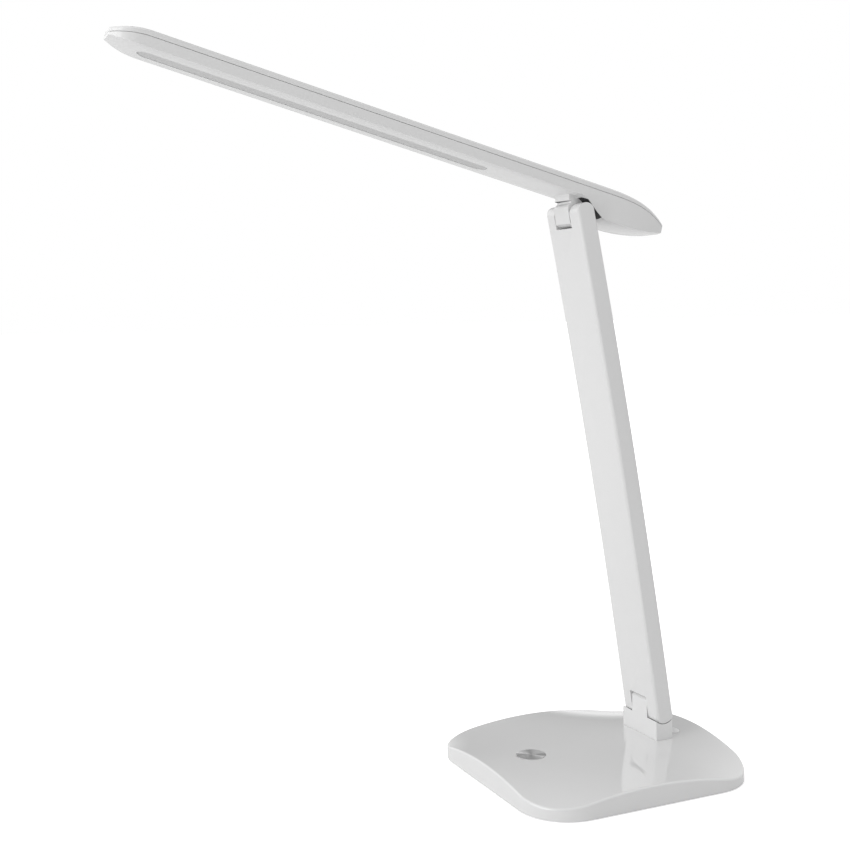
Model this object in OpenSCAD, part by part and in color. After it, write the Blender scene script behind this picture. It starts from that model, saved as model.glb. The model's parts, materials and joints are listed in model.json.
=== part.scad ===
// Folding desk lamp: a square base with a wavy top, a flat arm on a hinge block,
// and a slim light bar that folds down along the front of the arm.
// The origin is the middle of the resting face. The lamp faces -Y and both hinge axes lie along X.

/* [Base] */
// Width of the base, left to right
base_w = 180; // [160:1:220]
// Depth of the base, front to back
base_d = 180; // [170:1:220]
// Plan radius of the base corners
base_r = 36.5; // [25:0.5:50]
// Height of the top surface in the middle
top_mid = 17.8; // [17:0.1:24]
// Height of the rim at the middle of the front
rim_front = 16.5; // [14:0.1:22]
// Height of the rim at the middle of the back
rim_back = 21.4; // [18:0.1:26]
// Height of the rim at the middle of each side
rim_side = 15.5; // [13:0.1:22]
// Height of the rim at the two front corners
rim_front_corner = 8.8; // [7:0.1:14]
// Height of the rim at the two back corners
rim_back_corner = 7.8; // [7:0.1:14]
// Radius along the top edge of the base
rim_edge = 1.4; // [0.6:0.1:2]
// Wall of the base shell
base_wall = 2.4; // [2:0.1:3]
// Gap between the table and the lower edge of the base shell
base_lift = 0.4; // [0.2:0.1:0.8]
// Thickness of the non-slip pad
pad_t = 1; // [0.9:0.1:2]
// Thickness of the bottom plate
plate_t = 2.5; // [2.3:0.1:3]
// Width of the ballast plate
ballast_w = 112; // [80:1:120]
// Depth of the ballast plate
ballast_d = 92; // [80:1:100]
// Thickness of the ballast plate
ballast_t = 5; // [3:0.5:6]

/* [Touch switch] */
// Diameter of the metal touch disc
disc_d = 22; // [18:0.5:32]
// Distance of the disc in front of the middle
disc_front = 51; // [40:1:60]
// Thickness of the disc
disc_t = 1.1; // [0.8:0.1:1.4]

/* [Arm] */
// Width of the arm
arm_w = 45.1; // [40:0.1:60]
// Thickness of the arm
arm_t = 13.9; // [11.5:0.1:15]
// Distance between the two hinge axes
arm_len = 374; // [365:1:450]
// Forward lean of the arm as shown
arm_lean = 9.7; // [0:0.1:15]
// Rearward bow at the middle of the arm
arm_bow = 2.5; // [0:0.1:4]
// Radius along the two front edges of the arm
arm_front_edge = 2.4; // [1:0.1:3]
// Radius along the two back edges of the arm
arm_back_edge = 1; // [0.6:0.1:2]
// Wall of the arm shell
arm_wall = 2; // [1.6:0.1:2.5]
// Thickness of the steel spine
spine_t = 1.5; // [1:0.1:2]
// Width of the steel spine
spine_w = 20; // [12:1:26]

/* [Hinges] */
// Distance of the lower hinge axis behind the middle
low_back = 50.4; // [45:0.1:55]
// Height of the lower hinge axis
low_z = 40.8; // [40:0.1:46]
// Radius of the lower ends of the arm ears
low_ear_r = 9.5; // [9:0.1:9.8]
// Width of the hinge tongues
tongue_w = 20; // [18:0.5:22]
// Depth of the hinge block
block_d = 14.1; // [13.9:0.1:16]
// Distance of the lower axis behind the front face of the block
block_front = 6.9; // [6:0.1:7]
// Running gap between an arm end and what it turns in
turn_gap = 0.45; // [0.35:0.05:0.6]
// Radius of the hinge pins
pin_r = 3; // [2:0.1:3.2]
// Radial running clearance of the pins in the tongues
pin_play = 0.05; // [0.02:0.01:0.08]
// Thickness of a friction washer
washer_t = 0.6; // [0.4:0.1:0.8]

/* [Head] */
// Width of the light bar
head_w = 38; // [32:0.5:40]
// Rise of the light bar above the horizontal as shown
head_rise = 15.2; // [0:0.1:20]
// Distance from the upper axis to the tip
head_front = 341; // [320:1:352]
// Distance from the upper axis to the back end
head_back = 69.4; // [55:1:75]
// Height of the top face above the upper axis
head_top = 22.8; // [21:0.1:24]
// Height of the lower edge of the side faces above the upper axis
head_side = 12; // [11.8:0.1:13]
// Height of the underside above the upper axis
head_under = 11.4; // [10:0.1:11.6]
// Width of the bevel along the lower edges
head_bevel = 4; // [2:0.1:5]
// Height of the side band of the top cover
cover_h = 3.9; // [3:0.1:5]
// Chamfer along the top edges of the cover
cover_edge = 1.2; // [0.6:0.1:2]
// Gap along the parting line
parting = 0.3; // [0.2:0.05:0.5]
// Depth of the shallow edge under the tail
tail_deep = 0.8; // [0.4:0.1:1.5]
// Wall of the light bar
head_wall = 1.8; // [1.5:0.1:2.2]
// How far the bar can tip up from the pose shown before its tail meets the arm
head_up = 13; // [4:1:14]

/* [Light] */
// Distance from the upper axis to the near end of the light slot
slot_start = 80; // [60:1:100]
// Distance from the upper axis to the far end of the light slot
slot_end = 321; // [280:1:326]
// Width of the light slot
slot_w = 14; // [10:0.5:16]
// Depth of the diffuser behind the slot
slot_recess = 1.3; // [1:0.1:1.5]
// Thickness of the diffuser
diffuser_t = 1.6; // [1.2:0.1:2]
// Number of light-emitting diodes
led_count = 30; // [12:1:40]

/* [Power inlet] */
// Radius of the round plug hole in the back wall
inlet_r = 4.2; // [3.5:0.1:4.6]
// Height of the plug hole above the table
inlet_z = 9.6; // [9:0.1:10]

/* [Hidden] */

$fn = 48;
white = [0.93, 0.93, 0.93];
eps = 0.01;
fit = 0.15;

// Levels inside the base
plate_z = pad_t;
floor_z = plate_z + plate_t;
ballast_z = floor_z + ballast_t;
insulator_t = 0.8;
board_t = 1.6;
board_z = ballast_z + insulator_t;
board_top = board_z + board_t;
board_w = 52;
board_d = 30;
corner_points = 6;
side_points = 6;
boss_r = 4;
boss_in = 24;
screw_r = 1.4;
screw_head_r = 2.8;
screw_head_t = 1.4;
stem_r = 2.5;

// The block stands in a pocket of the shell
block_y0 = low_back - block_front;
block_y1 = block_y0 + block_d;
block_seat = top_z(arm_w / 2, block_y0) - 1;
seat_t = 3.5;
block_screw_x = arm_w / 2 - 8;
bumper_x = 11;
bumper_r = 5.6;
bumper_in = 1;
bumper_h = 2;
bumper_ball = 10;
wire_r = 1;
wire_x = 6;
wire_off = pin_r + 1.6;

// Hinge parts, laid out from the middle of the pin
tongue_r = low_ear_r - 0.7;
slot_half = tongue_w / 2 + washer_t + fit;
ear_out = arm_w / 2;
cap_t = 1.4;
cap_r = pin_r + 1.8;
pin_head_t = 2;
spring_t = 1.2;
nut_t = 3.5;
pin_end = ear_out - 3;
low_slot = low_ear_r + turn_gap;
up_ear_r = arm_t / 2;
up_tongue_r = up_ear_r + 2.05;
up_slot = up_tongue_r + turn_gap;

// Stations along the arm for its bow
arm_steps = 14;
pocket_z0 = low_slot + 16;
pocket_z1 = arm_len - up_slot - 14;
pocket_w = arm_w - 2 * arm_wall - arm_front_edge;
cover_t = 2;

// Frame of the upper hinge, and the parts of the head measured from it
cut_r = up_ear_r + 1.7;
neck_front = 3;
fold_gap = 0.6;
tip_len = 24;
tip_in = head_w / 2 - 8;
tip_drop = 3.8;
tip_rise = 2.4;
tail_flat = 10;
tail_power = 3.3;
tail_drop = 11.5;
tail_in = 5;
tail_side = -0.2;
tail_lift_from = 32;
tail_lift = 5;
head_in = head_w / 2 - head_wall;
light_floor = head_under + slot_recess + diffuser_t;
led_board_t = 1.2;
led_t = 0.7;
reflector_t = 0.8;
reflector_h = 2.2;
led_board_z = light_floor + reflector_h + led_t;
spreader_t = 1;
light_s0 = slot_start - slot_w / 2;
light_s1 = head_front - tip_len - 5;
strip_fit = 0.2;
strip_in = 0.3;
light_half = slot_w / 2 + reflector_t;

// Helper functions: a value held between 0 and 1, and the bow of the arm
function unit(t) = max(0, min(1, t));
function bow(z) = let (u = unit(z / arm_len)) 4 * arm_bow * u * (1 - u);

// Height of the wavy top: quadratic along the centre lines, lower towards the corners
function top_z(x, y) =
    let (
        u = x / (base_w / 2),
        v = y / (base_d / 2),
        k = 1 - base_r * (1 - cos(45)) / (base_w / 2),
        tilt = (rim_back - rim_front) / 2,
        rise = (rim_back + rim_front) / 2 - top_mid,
        fall = rim_side - top_mid,
        corner = (rim_front_corner + rim_back_corner) / 2,
        saddle = (corner - top_mid - (rise + fall) * k * k) / pow(k, 4),
        skew = ((rim_back_corner - rim_front_corner) / 2 - tilt * k) / pow(k, 3)
    )
    top_mid + tilt * v + rise * v * v + fall * u * u + saddle * u * u * v * v + skew * u * u * v;

// Rounded rectangle as points, with extra points along its straight sides
function outline(w, d, r, n = corner_points, m = side_points) =
    [for (c = [0:3])
        let (
            sx = (c == 0 || c == 3) ? 1 : -1,
            sy = c < 2 ? 1 : -1,
            centre = [sx * (w / 2 - r), sy * (d / 2 - r)],
            nx = (c == 0 || c == 1) ? -1 : 1,
            ny = (c == 0 || c == 3) ? 1 : -1,
            after = [nx * (w / 2 - r), ny * (d / 2 - r)],
            a_end = 90 * c + 90
        )
        each concat(
            [for (i = [0:n]) centre + r * [cos(90 * c + 90 * i / n), sin(90 * c + 90 * i / n)]],
            [for (j = [1:1:m - 1]) centre + (after - centre) * j / m + r * [cos(a_end), sin(a_end)]]
        )];

// Solid between rings of points of equal count: each end is flat, or closed to one point
module loft(rings, first = [], last = []) {
    n = len(rings[0]);
    m = len(rings);
    points = concat([for (ring = rings) each ring], first, last);
    near = n * m;
    far = n * m + len(first);
    polyhedron(points = points, faces = concat(
        len(first) > 0 ? [for (j = [0:n - 1]) [(j + 1) % n, near, j]] : [[for (j = [0:n - 1]) j]],
        [for (i = [0:m - 2], j = [0:n - 1]) let (k = (j + 1) % n) [i * n + j, (i + 1) * n + j, i * n + k]],
        [for (i = [0:m - 2], j = [0:n - 1]) let (k = (j + 1) % n)
            [i * n + k, (i + 1) * n + j, (i + 1) * n + k]],
        len(last) > 0
            ? [for (j = [0:n - 1]) [(m - 1) * n + j, far, (m - 1) * n + (j + 1) % n]]
            : [[for (j = [n - 1:-1:0]) (m - 1) * n + j]]
    ));
}

// Cylinder along X between two places
module rod(r, x0, x1, fn = 48) {
    translate([x0, 0, 0]) rotate([0, 90, 0]) cylinder(r = r, h = x1 - x0, $fn = fn);
}

// Ring along X between two places
module tube(r_in, r_out, x0, x1) {
    difference() {
        rod(r_out, x0, x1);
        rod(r_in, x0 - 1, x1 + 1);
    }
}

module low_axis() {
    translate([0, low_back, low_z]) children();
}

module arm_frame() {
    low_axis() rotate([arm_lean, 0, 0]) children();
}

module up_axis() {
    arm_frame() translate([0, 0, arm_len]) children();
}

module head_frame() {
    up_axis() rotate([-arm_lean - head_rise, 0, 0]) children();
}

// One ring of the base: inset from its outline, and its height or its drop below the top
function flat_ring(inset, z) =
    [for (p = outline(base_w - 2 * inset, base_d - 2 * inset, base_r - inset)) [p[0], p[1], z]];
function top_ring(inset, drop, k = 1) =
    [for (p = outline(base_w - 2 * inset, base_d - 2 * inset, base_r - inset) * k)
        [p[0], p[1], top_z(p[0], p[1]) - drop]];

// Hollow form of the base, open below, with a rounded rim
module base_form() {
    inward = [0.84, 0.66, 0.46, 0.24];
    loft(concat(
        [for (i = [len(inward) - 1:-1:0]) top_ring(base_wall, base_wall, inward[i])],
        [top_ring(base_wall, base_wall), flat_ring(base_wall, base_lift), flat_ring(0, base_lift)],
        [for (a = [0:30:90]) top_ring(rim_edge * (1 - cos(a)), rim_edge * (1 - sin(a)))],
        [for (k = inward) top_ring(rim_edge, 0, k)]
    ), [[0, 0, top_mid - base_wall]], [[0, 0, top_mid]]);
}

// Places of the four screw bosses under the base top
module at_bosses() {
    for (sx = [-1, 1], sy = [-1, 1])
        translate([sx * (base_w / 2 - boss_in), sy * (base_d / 2 - boss_in), 0]) children();
}

module rounded_plate(w, d, r, z, t) {
    translate([0, 0, z]) linear_extrude(t) polygon(outline(w, d, r, 12, 1));
}

module base_shell() {
    color(white) difference() {
        union() {
            base_form();
            at_bosses() translate([0, 0, floor_z])
                cylinder(r = boss_r, h = top_z(base_w / 2 - boss_in, base_d / 2 - boss_in) - floor_z - 1);
            translate([-arm_w / 2 - 2, block_y0 - 2, block_seat - seat_t])
                cube([arm_w + 4, block_d + 4, seat_t + 0.6]);
        }
        at_bosses() translate([0, 0, floor_z - 1]) cylinder(r = screw_r, h = 5);
        translate([0, -disc_front, top_z(0, -disc_front) - disc_t]) cylinder(r = disc_d / 2 + fit, h = 5);
        at_bumpers() cylinder(r = bumper_r + fit, h = 5);
        translate([0, -disc_front, floor_z]) cylinder(r = stem_r + fit, h = 20);
        translate([-arm_w / 2 - fit, block_y0 - fit, block_seat])
            cube([arm_w + 2 * fit, block_d + 2 * fit, 20]);
        for (sx = [-1, 1]) translate([sx * block_screw_x, low_back, floor_z])
            cylinder(r = screw_r + fit, h = 20);
        translate([wire_x, low_back + wire_off, floor_z]) cylinder(r = wire_r + fit, h = 20);
        translate([0, base_d / 2 + 1, inlet_z]) rotate([90, 0, 0]) cylinder(r = inlet_r, h = base_wall + 2);
    }
}

module bottom_plate() {
    side = base_wall + 0.5;
    color("gainsboro") difference() {
        rounded_plate(base_w - 2 * side, base_d - 2 * side, base_r - side, plate_z, plate_t);
        at_bosses() {
            cylinder(r = screw_r + fit, h = 10);
            cylinder(r = screw_head_r + fit, h = plate_z + screw_head_t);
        }
    }
}

module non_slip_pad() {
    side = base_wall + 1.2;
    color("dimgray") rounded_plate(base_w - 2 * side, base_d - 2 * side, base_r - side, 0, pad_t);
}

module ballast_plate() {
    color("slategray") rounded_plate(ballast_w, ballast_d, 10, floor_z, ballast_t);
}

module base_screws() {
    color("silver") at_bosses() {
        translate([0, 0, plate_z]) cylinder(r = screw_head_r, h = screw_head_t);
        translate([0, 0, plate_z]) cylinder(r = screw_r - 0.1, h = plate_t + 3);
    }
}

module touch_disc() {
    z = top_z(0, -disc_front);
    color("silver") translate([0, -disc_front, 0]) {
        translate([0, 0, z - disc_t]) cylinder(r = disc_d / 2, h = disc_t + 0.3, $fn = 96);
        translate([0, 0, z - base_wall - 0.6]) cylinder(r = stem_r, h = base_wall);
    }
}

module touch_contact() {
    z1 = top_z(0, -disc_front) - base_wall - 0.6;
    color("goldenrod") translate([0, -disc_front, board_top]) {
        cylinder(r = 2, h = z1 - board_top - 0.5);
        cylinder(r = 1, h = z1 - board_top);
    }
}

module board_insulator() {
    color("darkseagreen") translate([-board_w / 2 - 1, -disc_front - board_d / 2 + 9, ballast_z])
        cube([board_w + 2, board_d + 2, insulator_t]);
}

module control_board() {
    color("darkgreen") translate([-board_w / 2, -disc_front - board_d / 2 + 10, board_z])
        cube([board_w, board_d, board_t]);
}

module board_components() {
    color("black") translate([0, -disc_front + 10, board_top]) {
        for (x = [-20, -12, 12, 20]) translate([x - 2.5, 2, 0]) cube([5, 6, 1.2]);
        for (x = [-18:6:18]) translate([x - 1, 10, 0]) cube([2, 1.4, 0.7]);
    }
}

module power_jack() {
    body_w = 10;
    body_l = 13;
    body_h = 10.6;
    y1 = base_d / 2 - base_wall;
    color([0.15, 0.15, 0.16]) difference() {
        translate([-body_w / 2, y1 - body_l, inlet_z - body_h / 2 - 0.8]) cube([body_w, body_l, body_h]);
        translate([0, y1 + 1, inlet_z]) rotate([90, 0, 0]) cylinder(r = 2.8, h = 10);
    }
    color("silver") translate([0, y1 - 1, inlet_z]) rotate([90, 0, 0]) cylinder(r = 1, h = 9);
}

module hinge_block() {
    color(white) difference() {
        union() {
            difference() {
                translate([-arm_w / 2, block_y0, block_seat])
                    cube([arm_w, block_d, low_z - block_seat - tongue_r * 0.85]);
                low_axis() for (s = [-1, 1])
                    rod(low_ear_r + turn_gap, min(s * tongue_w / 2, s * 30), max(s * tongue_w / 2, s * 30));
            }
            intersection() {
                union() {
                    low_axis() rod(tongue_r, -tongue_w / 2, tongue_w / 2);
                    translate([-tongue_w / 2, block_y0, block_seat + 1])
                        cube([tongue_w, arm_t, low_z - block_seat - 1]);
                }
                translate([-tongue_w / 2, block_y0, block_seat]) cube([tongue_w, arm_t, 80]);
            }
        }
        low_axis() rod(pin_r + pin_play, -30, 30);
        for (s = [-1, 1]) translate([s * block_screw_x, low_back, block_seat - 1])
            cylinder(r = screw_r, h = 8);
        translate([wire_x, low_back + wire_off, block_seat - 1]) cylinder(r = wire_r + fit, h = 60);
    }
}

module block_screws() {
    z0 = block_seat - seat_t;
    color("silver") for (s = [-1, 1]) translate([s * block_screw_x, low_back, 0]) {
        translate([0, 0, z0 - 1.2]) cylinder(r = screw_head_r, h = 1.2);
        translate([0, 0, z0 - 1.2]) cylinder(r = screw_r - 0.1, h = 1.2 + seat_t + 5);
    }
}

// Places of the two soft bumpers behind the block, at the bottom of their recesses
module at_bumpers() {
    for (s = [-1, 1]) translate([s * bumper_x, block_y1 + 8, top_z(bumper_x, block_y1 + 8) - bumper_in])
        children();
}

module rest_bumpers() {
    color(white) at_bumpers() intersection() {
        translate([0, 0, bumper_in + bumper_h - bumper_ball]) sphere(r = bumper_ball);
        cylinder(r = bumper_r, h = 8);
    }
}

module base_wire() {
    y0 = -disc_front + board_d / 2 + 12;
    y1 = low_back + wire_off;
    z = ballast_z + wire_r;
    color([0.8, 0.8, 0.8]) translate([wire_x, 0, 0]) {
        translate([0, y0, z]) rotate([-90, 0, 0]) cylinder(r = wire_r, h = y1 - y0, $fn = 24);
        translate([0, y1, z]) sphere(r = wire_r, $fn = 24);
        translate([0, y1, z]) cylinder(r = wire_r, h = low_z + 2 - z, $fn = 24);
    }
}

// Cross-section of the arm at one place along it, as points in the arm's own frame
function arm_section(z) =
    let (f = arm_front_edge, b = arm_back_edge, w = arm_w / 2, t = arm_t / 2)
    [for (q = concat(
        [for (a = [0:30:90]) [w - b + b * cos(a), t - b + b * sin(a)]],
        [for (a = [90:30:180]) [-w + b + b * cos(a), t - b + b * sin(a)]],
        [for (a = [180:22.5:270]) [-w + f + f * cos(a), -t + f + f * sin(a)]],
        [for (a = [270:22.5:360]) [w - f + f * cos(a), -t + f + f * sin(a)]]
    )) [q[0], q[1] + bow(z), z]];

// Bowed slab inside the arm: width, depth range and length range
module arm_band(w, d0, d1, z0, z1) {
    rotate([90, 0, 90]) translate([0, 0, -w / 2]) linear_extrude(w) polygon(concat(
        [for (i = [0:arm_steps]) let (z = z0 + (z1 - z0) * i / arm_steps) [bow(z) + d1, z]],
        [for (i = [arm_steps:-1:0]) let (z = z0 + (z1 - z0) * i / arm_steps) [bow(z) + d0, z]]
    ));
}

module arm_shell() {
    color(white) arm_frame() difference() {
        intersection() {
            loft([for (z = concat([-low_ear_r - 2], [for (i = [0:arm_steps]) arm_len * i / arm_steps],
                [arm_len + up_ear_r + 2])) arm_section(z)]);
            union() {
                rod(low_ear_r, -arm_w, arm_w, 96);
                translate([-arm_w, -arm_t, 0]) cube([2 * arm_w, 2 * arm_t + 2 * arm_bow, arm_len]);
                translate([0, 0, arm_len]) rod(up_ear_r, -arm_w, arm_w, 96);
            }
        }
        translate([-slot_half, -arm_t, -low_ear_r - 5])
            cube([2 * slot_half, 2 * arm_t, low_ear_r + 5 + low_slot]);
        translate([-slot_half, -arm_t, arm_len - up_slot]) cube([2 * slot_half, 2 * arm_t, 40]);
        for (z = [0, arm_len]) translate([0, 0, z]) {
            rod(pin_r + 0.02, -arm_w, pin_end + 0.5);
            rod(cap_r + 0.05, -arm_w, -ear_out + cap_t + pin_head_t + spring_t + 0.1);
            rod((pin_r + 2) + 0.1, slot_half - 1, slot_half + nut_t + 0.1, 6);
        }
        arm_band(pocket_w, -arm_t / 2 + arm_wall, arm_t, pocket_z0, pocket_z1);
        translate([0, 1, low_slot - 1]) cylinder(r = wire_r + 0.4, h = 20);
        translate([0, 1, arm_len - up_slot - 18]) cylinder(r = wire_r + 0.4, h = 20);
        for (z = [pocket_z0 + 10, pocket_z1 - 10])
            translate([0, bow(z), z]) rotate([90, 0, 0]) cylinder(r = 1, h = arm_t / 2 - 0.6);
    }
}

module arm_rear_cover() {
    color(white) arm_frame()
        arm_band(pocket_w - 2 * fit, arm_t / 2 - cover_t, arm_t / 2, pocket_z0 + fit, pocket_z1 - fit);
}

module arm_spine() {
    d0 = -arm_t / 2 + arm_wall;
    color("lightsteelblue") arm_frame() difference() {
        arm_band(spine_w, d0, d0 + spine_t, pocket_z0 + 2, pocket_z1 - 2);
        for (z = [pocket_z0 + 10, pocket_z1 - 10])
            translate([0, arm_t, z]) rotate([90, 0, 0]) cylinder(r = 1.2, h = 2 * arm_t);
    }
}

module spine_screws() {
    d1 = -arm_t / 2 + arm_wall + spine_t;
    color("silver") arm_frame() for (z = [pocket_z0 + 10, pocket_z1 - 10]) translate([0, bow(z) + d1, z]) {
        translate([0, 0.1, 0]) rotate([-90, 0, 0]) cylinder(r = 2.2, h = 1.2);
        translate([0, 0.2, 0]) rotate([90, 0, 0]) cylinder(r = 0.95, h = spine_t + 1.4);
    }
}

module arm_wire() {
    color([0.8, 0.8, 0.8]) arm_frame() loft([for (i = [0:arm_steps])
        let (z = low_slot + 0.5 + (arm_len - up_slot - low_slot - 1) * i / arm_steps)
        [for (k = [0:9]) [wire_r * cos(36 * k), 1 + bow(z) * 0.9 + wire_r * sin(36 * k), z]]]);
}

// Hinge hardware, drawn about its own axis
module pin_shape() {
    x0 = -ear_out + cap_t;
    rod(cap_r - 0.2, x0, x0 + pin_head_t);
    rod(pin_r, x0, pin_end);
}

module nut_shape() {
    difference() {
        rod(pin_r + 2, slot_half, slot_half + nut_t, 6);
        rod(pin_r + 0.03, 0, ear_out);
    }
}

module washer_shape() {
    for (s = [-1, 1]) {
        x = s * (tongue_w / 2 + fit + washer_t / 2);
        tube(pin_r + 0.1, pin_r + 2.6, x - washer_t / 2, x + washer_t / 2);
    }
}

module spring_washer_shape() {
    x0 = -ear_out + cap_t + pin_head_t;
    rotate([0, 90, 0]) rotate_extrude($fn = 48) polygon([
        [pin_r + 0.1, x0], [pin_r + 0.7, x0], [cap_r - 0.1, x0 + spring_t], [cap_r - 0.7, x0 + spring_t]]);
}

module cap_shape() {
    rod(cap_r, -ear_out, -ear_out + cap_t - 0.1, 64);
}

module lower_pin() { color("silver") low_axis() pin_shape(); }
module lower_nut() { color("silver") arm_frame() nut_shape(); }
module lower_washers() { color("dimgray") low_axis() washer_shape(); }
module lower_spring_washer() { color("silver") low_axis() spring_washer_shape(); }
module lower_pin_cap() { color(white) low_axis() cap_shape(); }
module upper_pin() { color("silver") up_axis() pin_shape(); }
module upper_nut() { color("silver") up_axis() nut_shape(); }
module upper_washers() { color("dimgray") up_axis() washer_shape(); }
module upper_spring_washer() { color("silver") up_axis() spring_washer_shape(); }
module upper_pin_cap() { color(white) up_axis() cap_shape(); }

// Forms of the light bar at a distance s in front of the upper axis
function tip_t(s) = unit((s - head_front + tip_len) / tip_len);
function tail_t(s) = unit((-s - tail_flat) / (head_back - tail_flat));
function bar_half(s) = head_w / 2 - tip_in * pow(tip_t(s), 2.2) - tail_in * pow(tail_t(s), tail_power);
function bar_top(s) = head_top - tip_drop * pow(tip_t(s), 2) - tail_drop * pow(tail_t(s), tail_power);
function bar_split(s) = bar_top(s) - cover_h * (1 - 0.55 * pow(tail_t(s), 2) - 0.3 * pow(tip_t(s), 2));
function tail_up(s) = pow(unit((-s - tail_lift_from) / (head_back - tail_lift_from)), 2);
function tail_step(s) = let (t = unit((5 - s) / 24)) t * t * (3 - 2 * t);
function bar_side(s) = head_side + tip_rise * pow(tip_t(s), 2)
    - (head_side - tail_side) * tail_step(s) + tail_lift * tail_up(s);
function bar_under(s) = let (t = tail_step(s))
    bar_side(s) - (head_side - head_under) * (1 - t) - tail_deep * t;

// Distances along the bar at which its form changes
tail_steps = [for (i = [0:12]) -head_back + (head_back - tail_flat) * i / 12];
tip_steps = [for (i = [0:8]) head_front - tip_len + tip_len * i / 8];
mid_steps = [for (i = [1:5]) 5 + (head_front - tip_len - 5) * i / 6];
bar_steps = concat(tail_steps, [for (s = [-7:3:2]) s], [5], mid_steps, tip_steps);

function housing_section(s) =
    let (w = bar_half(s), b = head_bevel, h0 = bar_under(s), h1 = bar_side(s), h2 = bar_split(s) - parting)
    [for (q = [[w - b, h0], [w, h1], [w, h2], [-w, h2], [-w, h1], [b - w, h0]]) [q[0], -s, q[1]]];

function cover_section(s) =
    let (w = bar_half(s), e = cover_edge, h0 = bar_split(s), h1 = bar_top(s))
    [for (q = [[w, h0], [w, h1 - e], [w - 0.4 * e, h1 - 0.4 * e], [w - e - 0.6, h1],
        [-w + e + 0.6, h1], [-w + 0.4 * e, h1 - 0.4 * e], [-w, h1 - e], [-w, h0]]) [q[0], -s, q[1]]];

// Outline of the flared front of the neck, above the turning arm end
neck = concat([[0, head_side + 1], [0, up_ear_r + fold_gap]],
    [for (a = [0:15:90]) [up_tongue_r + neck_front * (1 - cos(a)), up_ear_r + fold_gap + 4.4 * sin(a)]],
    [[up_tongue_r + neck_front, head_side + 1]]);

// Box in the head's frame from distances along the bar, across it and up from the axis
module bar_box(s0, s1, half, h0, h1) {
    translate([-half, -s1, h0]) cube([2 * half, s1 - s0, h1 - h0]);
}

module head_housing() {
    color(white) head_frame() difference() {
        union() {
            difference() {
                loft([for (s = bar_steps) housing_section(s)]);
                rod(cut_r, -40, 40, 96);
                rotate([arm_lean + head_rise + head_up, 0, 0])
                    translate([-40, -up_ear_r - fold_gap, -60]) cube([80, arm_t + 2 * fold_gap, 60]);
                bar_box(0, 40, 40, -30, up_ear_r + fold_gap);
            }
            intersection() {
                union() {
                    intersection() {
                        rod(up_tongue_r, -tongue_w / 2, tongue_w / 2, 96);
                        rotate([arm_lean + head_rise, 0, 0])
                            translate([-20, -arm_t / 2, -20]) cube([40, arm_t, 40]);
                    }
                    bar_box(-up_ear_r, up_ear_r, tongue_w / 2, 0, head_side + 1);
                    rotate([90, 0, -90]) translate([0, 0, -tongue_w / 2])
                        linear_extrude(tongue_w) polygon(neck);
                }
                bar_box(-20, 20, tongue_w / 2, -20, 40);
            }
        }
        rod(pin_r + pin_play, -30, 30);
        bar_box(slot_start - 50, head_front - tip_len - 2, head_in, head_under + slot_recess, 40);
        bar_box(slot_start, slot_end - 7, slot_w / 2, 0, 20);
        for (s = [slot_start, slot_end - 7]) translate([0, -s, 0]) cylinder(r = slot_w / 2, h = 20);
        bar_box(-head_back + 14, -up_tongue_r - 3, head_in - 3, head_side + 1, 40);
        bar_box(-20, slot_start, 5, head_side + 1.5, 40);
        translate([wire_x - 2.5, wire_off, 0]) cylinder(r = wire_r + fit, h = 30);
    }
}

module head_cover() {
    color(white) head_frame() difference() {
        union() {
            loft([for (s = bar_steps) cover_section(s)]);
            for (s = [40, 120, 200, 280], x = [-1, 1])
                translate([x * (head_in - 0.8) - 0.6, -s - 4, head_top - cover_h - 2.2]) cube([1.2, 8, 3]);
        }
        bar_box(-18, head_front - tip_len - 4, head_in - 1.6, 0, head_top - 1.6);
    }
}

module diffuser() {
    h0 = head_under + slot_recess;
    r = slot_w / 2 - strip_fit;
    color([0.97, 0.97, 0.95]) head_frame() {
        bar_box(light_s0 - 2, head_front - tip_len - 2.5, head_in - fit, h0 + eps, h0 + diffuser_t);
        bar_box(slot_start, slot_end - 7, r, head_under + strip_in, h0 + diffuser_t);
        for (s = [slot_start, slot_end - 7]) translate([0, -s, head_under + strip_in])
            cylinder(r = r, h = slot_recess - strip_in + diffuser_t);
    }
}

module light_reflector() {
    color([0.98, 0.98, 0.98]) head_frame() difference() {
        bar_box(light_s0, light_s1, light_half, light_floor, led_board_z);
        bar_box(light_s0 + 1, light_s1 - 1, slot_w / 2, 0, 40);
    }
}

module led_board() {
    color([0.9, 0.9, 0.88]) head_frame()
        bar_box(light_s0, light_s1, light_half, led_board_z, led_board_z + led_board_t);
}

module led_chips() {
    pitch = (light_s1 - light_s0 - 10) / (led_count - 1);
    color([0.95, 0.85, 0.4]) head_frame() for (i = [0:led_count - 1])
        let (s = light_s0 + 5 + pitch * i)
            bar_box(s - 1.4, s + 1.4, 1.75, led_board_z - led_t, led_board_z);
}

module heat_spreader() {
    z = led_board_z + led_board_t;
    color("lightgray") head_frame()
        bar_box(light_s0 - 4, light_s1, light_half + 1.2, z, z + spreader_t);
}

module head_wire() {
    x = wire_x - 2.5;
    z = head_side + 1.5 + wire_r;
    color([0.8, 0.8, 0.8]) head_frame() translate([x, 0, 0]) {
        translate([0, wire_off, 1]) cylinder(r = wire_r, h = z - 1, $fn = 24);
        translate([0, wire_off, z]) sphere(r = wire_r, $fn = 24);
        translate([0, wire_off, z]) rotate([90, 0, 0])
            cylinder(r = wire_r, h = wire_off + light_s0 - 4.5, $fn = 24);
    }
}

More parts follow.
